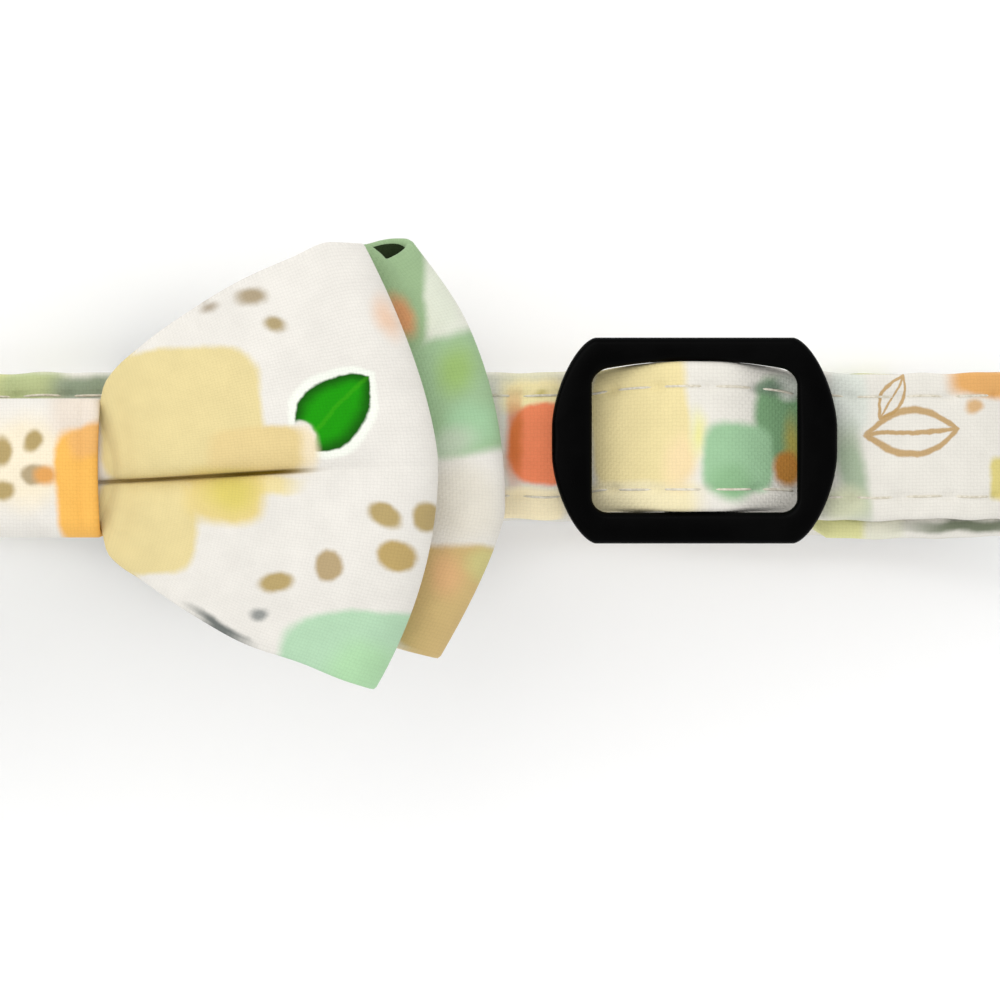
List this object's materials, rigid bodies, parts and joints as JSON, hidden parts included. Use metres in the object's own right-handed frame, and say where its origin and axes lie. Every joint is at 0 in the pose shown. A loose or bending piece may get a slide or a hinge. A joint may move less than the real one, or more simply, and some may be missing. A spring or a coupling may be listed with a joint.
{
  "type": "pet bow tie collar",
  "caption": "Small pet collar of printed cotton webbing with a two-layer bow tie, a black slider and a plain buckle, lying closed.",
  "frame": {"origin": "middle of the buckle's flat face, on which the closed collar lies", "axes": "+X along the collar from the bow to the slider, +Y across the strap, +Z from the buckle towards the bow's face"},
  "size_m": [0.164, 0.0471, 0.0535],
  "materials": {
    "printed_cotton": "matte woven",
    "strap_cotton": "matte woven",
    "wrap_cotton": "matte woven",
    "elastic": "ribbed",
    "black_plastic": "satin moulded"
  },
  "bodies": {
    "root": {"strap": "strap_cotton", "slider": "black_plastic", "bow_back": "printed_cotton", "bow_front": "printed_cotton", "centre_wrap": "wrap_cotton", "keeper_left": "elastic", "keeper_right": "elastic", "buckle": "black_plastic"}
  },
  "joints": []
}
